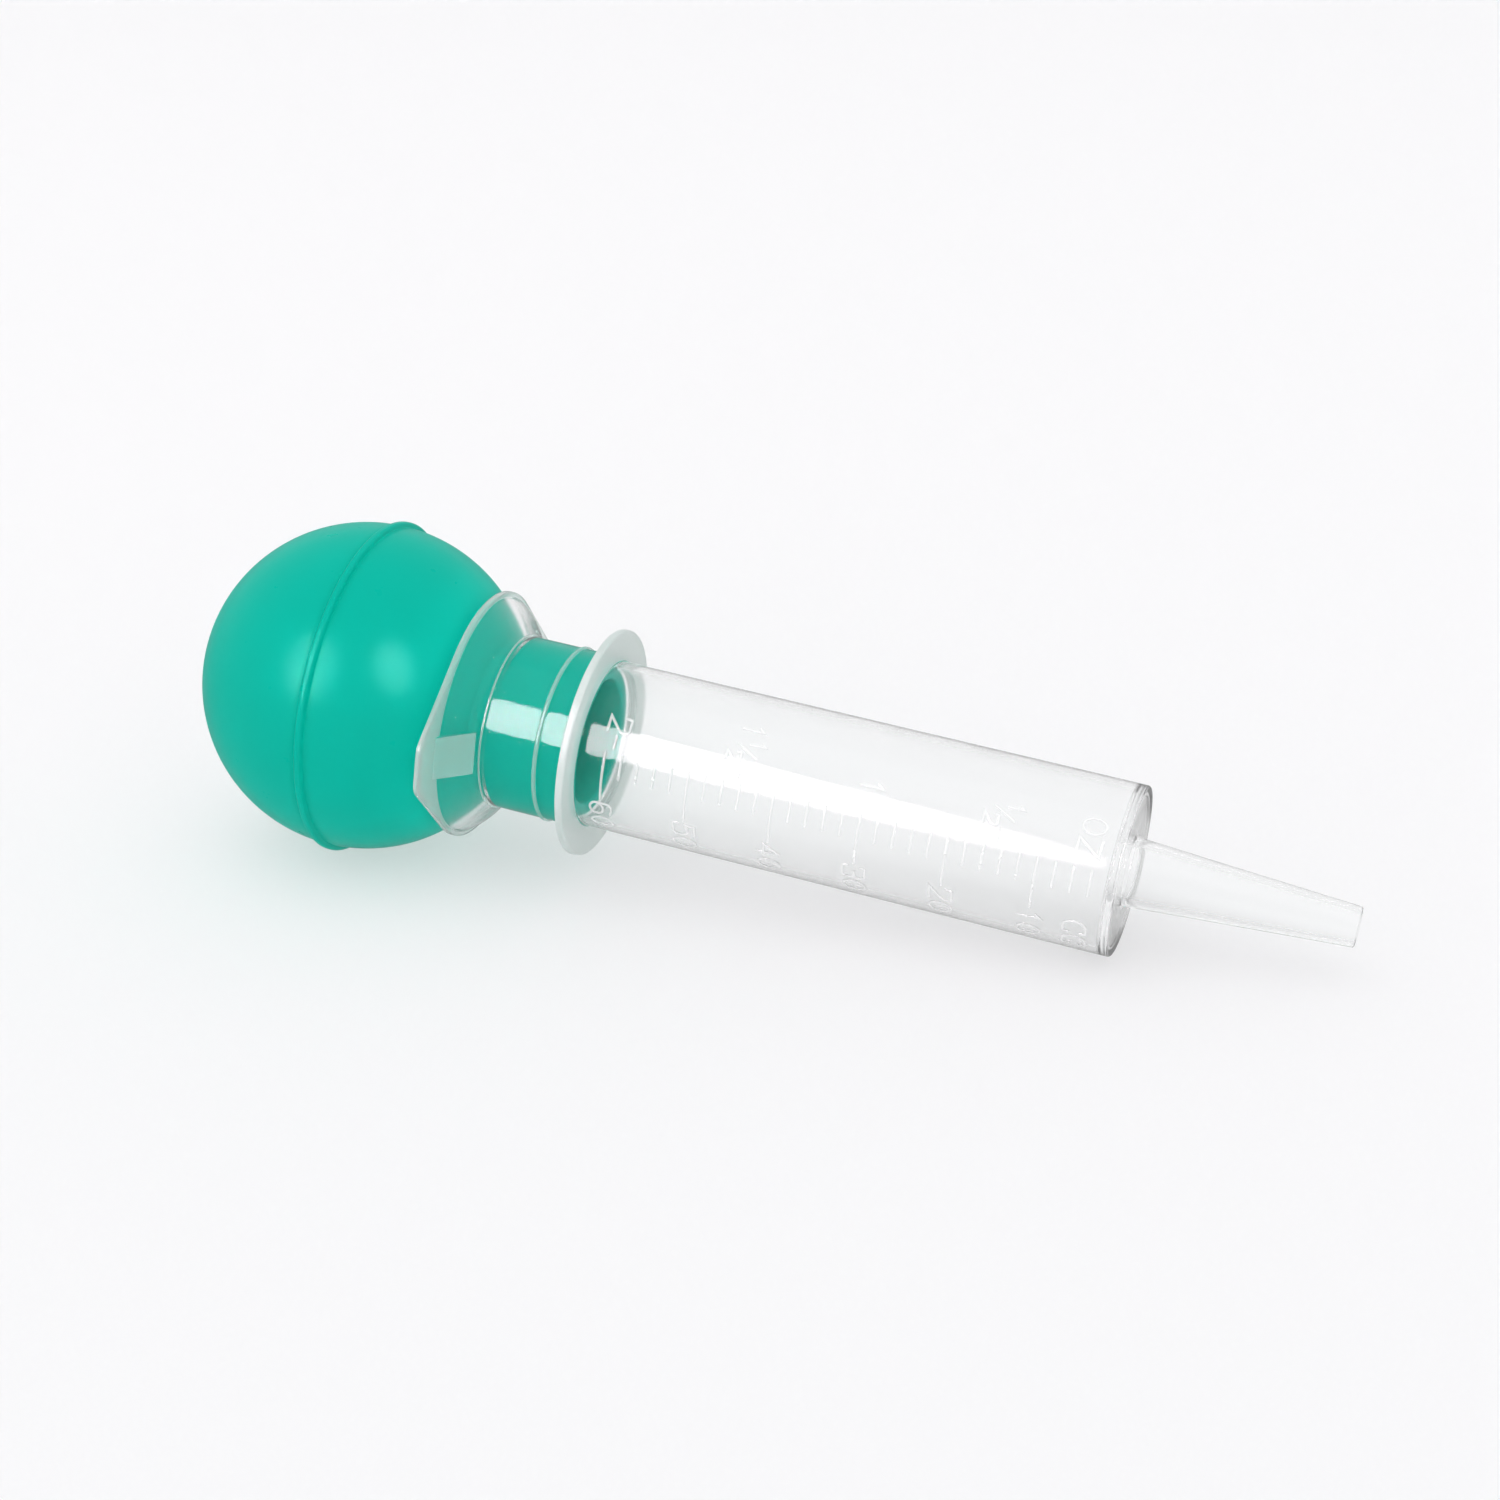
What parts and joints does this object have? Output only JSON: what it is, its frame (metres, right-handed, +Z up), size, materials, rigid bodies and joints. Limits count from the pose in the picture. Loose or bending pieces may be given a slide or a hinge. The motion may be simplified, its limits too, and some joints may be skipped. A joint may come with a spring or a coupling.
{
  "type": "bulb irrigation syringe",
  "caption": "Soft round squeeze bulb plugged into a clear graduated barrel with a winged bell flange, a guard disc and a tapered catheter nozzle.",
  "frame": {"origin": "centre of the bounding box in X and Y, on the surface the syringe lies on", "axes": "+Z up; the syringe lies in the XZ plane with its bulb towards -X and its nozzle towards +X, tipped down by 6.37 degrees because it rests on the bulb's rib and the barrel's end"},
  "size_m": [0.2138, 0.0622, 0.062],
  "materials": {
    "bulb_green": "satin soft vinyl rubber",
    "barrel_clear": "translucent moulded polypropylene"
  },
  "bodies": {
    "barrel": {"barrel": "barrel_clear"},
    "bulb": {"bulb_body": "bulb_green"},
    "thumb_wall": {"bulb_thumb_wall": "bulb_green"},
    "finger_wall": {"bulb_finger_wall": "bulb_green"}
  },
  "joints": [
    {"name": "bulb_pull", "type": "slide", "parent": "barrel", "child": "bulb", "axis": [-0.9938, 0, 0.1109], "range_m": [0, 0.026]},
    {"name": "thumb_squeeze", "type": "slide", "parent": "bulb", "child": "thumb_wall", "axis": [0, 1, 0], "range_m": [0, 0.012], "stiffness_N_per_m": 600},
    {"name": "finger_squeeze", "type": "slide", "parent": "bulb", "child": "finger_wall", "axis": [0, -1, 0], "range_m": [0, 0.012], "stiffness_N_per_m": 600}
  ],
  "couplings": [
    {"joint": "finger_squeeze", "follows": "thumb_squeeze", "ratio": 1}
  ]
}
